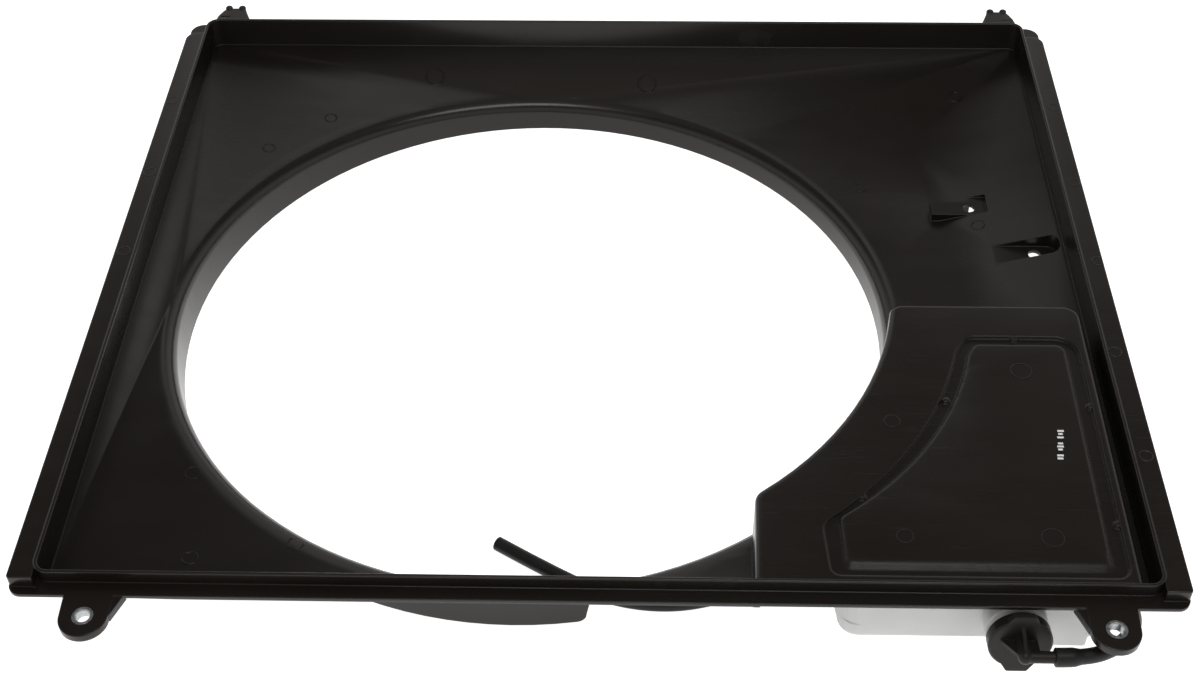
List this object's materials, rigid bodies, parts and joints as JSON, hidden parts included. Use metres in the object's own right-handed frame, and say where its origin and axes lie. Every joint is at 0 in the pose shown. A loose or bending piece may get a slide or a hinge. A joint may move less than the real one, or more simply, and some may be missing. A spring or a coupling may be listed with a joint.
{
  "type": "fan shroud with coolant reservoir",
  "caption": "Rectangular radiator fan shroud with a round fan opening, a translucent coolant reservoir clipped to its engine side, filler cap, overflow hose and fixing tabs.",
  "frame": {"origin": "under the middle of the assembly's box, on the plane of the fan collar's engine-side edge, hose not counted", "axes": "+Z to the radiator side, -Y to the edge that is uppermost when installed (cap and fixing tabs), +X to the side of the reservoir"},
  "size_m": [0.72, 0.654, 0.0727],
  "materials": {
    "black_polypropylene": "semi-gloss injection moulded black polypropylene with fine flow marks",
    "translucent_polyethylene": "milky translucent blow-moulded polyethylene",
    "cap_plastic": "satin black moulded plastic with a fine grain",
    "seal_rubber": "smooth black seal rubber",
    "tube_plastic": "natural plastic tube",
    "hose_rubber": "satin extruded black rubber",
    "zinc_steel": "bright zinc-plated steel",
    "screw_steel": "zinc-plated screw steel"
  },
  "bodies": {
    "shroud": {"fan_shroud": "black_polypropylene", "reservoir_tank": "translucent_polyethylene", "overflow_hose": "hose_rubber", "compression_limiter_left": "zinc_steel", "compression_limiter_right": "zinc_steel", "tank_screws": "screw_steel"},
    "cap": {"filler_cap": "cap_plastic", "cap_gasket": "seal_rubber", "dip_tube": "tube_plastic"}
  },
  "joints": [
    {"name": "cap_pull", "type": "slide", "parent": "shroud", "child": "cap", "axis": [0, -0.9848, 0.1736], "range_m": [0, 0.018], "deforming": ["overflow_hose"]}
  ]
}
